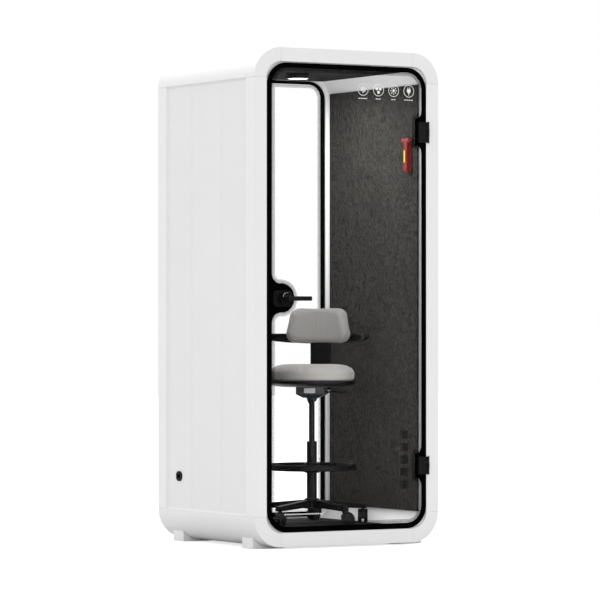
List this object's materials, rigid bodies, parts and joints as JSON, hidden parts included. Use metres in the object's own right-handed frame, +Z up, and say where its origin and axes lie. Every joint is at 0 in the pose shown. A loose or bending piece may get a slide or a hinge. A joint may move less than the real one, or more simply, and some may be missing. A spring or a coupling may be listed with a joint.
{
  "type": "study carrel",
  "caption": "One-person acoustic study carrel with a glass door, felt-lined walls, ceiling light and fan, and a height-adjustable drafting stool inside.",
  "frame": {"origin": "on the floor, midway between the outermost left, right, front and rear surfaces; the door handle is the outermost front surface", "axes": "+Z up, -Y towards the door side, +X to the right when facing the door"},
  "size_m": [1, 0.988, 2.3085],
  "materials": {
    "moulded_white": "satin",
    "lacquered_board": "satin lacquer",
    "wall_felt": "pressed felt",
    "ceiling_felt": "pressed felt",
    "carpet": "low carpet",
    "glazing": "clear with a black printed border",
    "seal_rubber": "matte white",
    "black_metal": "satin powder coat",
    "mechanism_alloy": "cast and painted dark",
    "bright_steel": "brushed",
    "black_plastic": "fine moulded texture",
    "wheel_rubber": "matte",
    "lamp_diffuser": "opal",
    "hammer_red": "moulded red",
    "seat_fabric": "woven upholstery"
  },
  "bodies": {
    "shell": {"corner_top_left": "moulded_white", "corner_top_right": "moulded_white", "corner_bottom_left": "moulded_white", "corner_bottom_right": "moulded_white", "front_post_left": "moulded_white", "front_post_right": "moulded_white", "rear_post_left": "moulded_white", "rear_post_right": "moulded_white", "roof": "lacquered_board", "base": "lacquered_board", "side_panel_left": "lacquered_board", "side_panel_right": "lacquered_board", "felt_left": "wall_felt", "felt_right": "wall_felt", "floor_deck": "carpet", "ceiling_panel": "ceiling_felt", "foot_front_left": "moulded_white", "foot_front_right": "moulded_white", "foot_rear_left": "moulded_white", "foot_rear_right": "moulded_white", "rear_window": "glazing", "window_trim": "moulded_white", "door_seal": "seal_rubber", "hinge_bracket_top": "black_metal", "hinge_bracket_bottom": "black_metal", "light_housing": "black_metal", "light_diffuser": "lamp_diffuser", "fan_frame": "black_plastic", "power_inlet": "black_plastic", "hammer_bracket": "hammer_red"},
    "door": {"door_glass": "glazing", "hinge_leaf_top": "black_metal", "hinge_leaf_bottom": "black_metal", "lock_case": "black_plastic"},
    "handle": {"lever_outside": "black_metal", "lever_inside": "black_metal"},
    "latch": {"latch_bolt": "bright_steel"},
    "fan": {"fan_rotor": "black_plastic"},
    "hammer": {"hammer": "hammer_red"},
    "stool_base": {"star_base": "black_plastic", "column_tube": "black_metal"},
    "foot_rest": {"foot_ring": "black_plastic"},
    "lift_rod": {"gas_rod": "black_metal"},
    "seat": {"seat_mechanism": "mechanism_alloy", "seat_pan": "black_plastic", "seat_cushion": "seat_fabric", "back_plate": "black_plastic", "back_cushion": "seat_fabric", "arm_rest": "black_plastic"},
    "height_lever": {"lift_lever": "black_plastic"},
    "caster_1": {"caster_fork_1": "black_plastic"},
    "wheel_1": {"caster_wheel_1": "wheel_rubber"},
    "caster_2": {"caster_fork_2": "black_plastic"},
    "wheel_2": {"caster_wheel_2": "wheel_rubber"},
    "caster_3": {"caster_fork_3": "black_plastic"},
    "wheel_3": {"caster_wheel_3": "wheel_rubber"},
    "caster_4": {"caster_fork_4": "black_plastic"},
    "wheel_4": {"caster_wheel_4": "wheel_rubber"},
    "caster_5": {"caster_fork_5": "black_plastic"},
    "wheel_5": {"caster_wheel_5": "wheel_rubber"}
  },
  "joints": [
    {"name": "door_swing", "type": "hinge", "parent": "shell", "child": "door", "pos_m": [0.438, -0.4405, 1.1495], "axis": [0, 0, 1], "range_deg": [0, 105]},
    {"name": "handle_turn", "type": "hinge", "parent": "door", "child": "handle", "pos_m": [-0.345, -0.417, 1.1525], "axis": [0, 1, 0], "range_deg": [0, 45], "stiffness_Nm_per_rad": 1.5, "springref_deg": -34.38},
    {"name": "latch_slide", "type": "slide", "parent": "door", "child": "latch", "axis": [1, 0, 0], "range_m": [0, 0.01]},
    {"name": "fan_spin", "type": "hinge", "parent": "shell", "child": "fan", "pos_m": [0, -0.199, 2.2495], "axis": [0, 0, 1], "continuous": true},
    {"name": "hammer_pull", "type": "slide", "parent": "shell", "child": "hammer", "axis": [-1, 0, 0], "range_m": [0, 0.08]},
    {"name": "stool_roll", "type": "slide", "parent": "shell", "child": "stool_base", "axis": [0, 1, 0], "range_m": [-0.1, 0.06]},
    {"name": "foot_ring_height", "type": "slide", "parent": "stool_base", "child": "foot_rest", "axis": [0, 0, 1], "range_m": [-0.1, 0.06]},
    {"name": "gas_lift", "type": "slide", "parent": "stool_base", "child": "lift_rod", "axis": [0, 0, 1], "range_m": [-0.16, 0.03]},
    {"name": "seat_swivel", "type": "hinge", "parent": "lift_rod", "child": "seat", "pos_m": [0.103, 0.066, 0.6845], "axis": [0, 0, 1], "continuous": true},
    {"name": "height_lever_pull", "type": "hinge", "parent": "seat", "child": "height_lever", "pos_m": [0.15432, 0.02139, 0.711], "axis": [-0.6561, -0.7547, 0], "range_deg": [0, 5], "stiffness_Nm_per_rad": 0.5, "springref_deg": -11.46},
    {"name": "caster_swivel_1", "type": "hinge", "parent": "stool_base", "child": "caster_1", "pos_m": [0.23394, 0.2883, 0.1545], "axis": [0, 0, 1], "continuous": true},
    {"name": "wheel_roll_1", "type": "hinge", "parent": "caster_1", "child": "wheel_1", "pos_m": [0.24898, 0.29377, 0.1143], "axis": [-0.342, 0.9397, 0], "continuous": true},
    {"name": "caster_swivel_2", "type": "hinge", "parent": "stool_base", "child": "caster_2", "pos_m": [-0.06796, 0.25923, 0.1545], "axis": [0, 0, 1], "continuous": true},
    {"name": "wheel_roll_2", "type": "hinge", "parent": "caster_2", "child": "wheel_2", "pos_m": [-0.08341, 0.26337, 0.1143], "axis": [-0.2588, -0.9659, 0], "continuous": true},
    {"name": "caster_swivel_3", "type": "hinge", "parent": "stool_base", "child": "caster_3", "pos_m": [-0.1336, -0.03688, 0.1545], "axis": [0, 0, 1], "continuous": true},
    {"name": "wheel_roll_3", "type": "hinge", "parent": "caster_3", "child": "wheel_3", "pos_m": [-0.13907, -0.05191, 0.1143], "axis": [0.9397, -0.342, 0], "continuous": true},
    {"name": "caster_swivel_4", "type": "hinge", "parent": "stool_base", "child": "caster_4", "pos_m": [0.12773, -0.19081, 0.1545], "axis": [0, 0, 1], "continuous": true},
    {"name": "wheel_roll_4", "type": "hinge", "parent": "caster_4", "child": "wheel_4", "pos_m": [0.14186, -0.19832, 0.1143], "axis": [0.4695, 0.8829, 0], "continuous": true},
    {"name": "caster_swivel_5", "type": "hinge", "parent": "stool_base", "child": "caster_5", "pos_m": [0.35488, 0.01016, 0.1545], "axis": [0, 0, 1], "continuous": true},
    {"name": "wheel_roll_5", "type": "hinge", "parent": "caster_5", "child": "wheel_5", "pos_m": [0.34641, -0.00341, 0.1143], "axis": [0.848, -0.5299, 0], "continuous": true}
  ],
  "couplings": [
    {"joint": "latch_slide", "follows": "handle_turn", "m_per_rad": 0.0125}
  ]
}
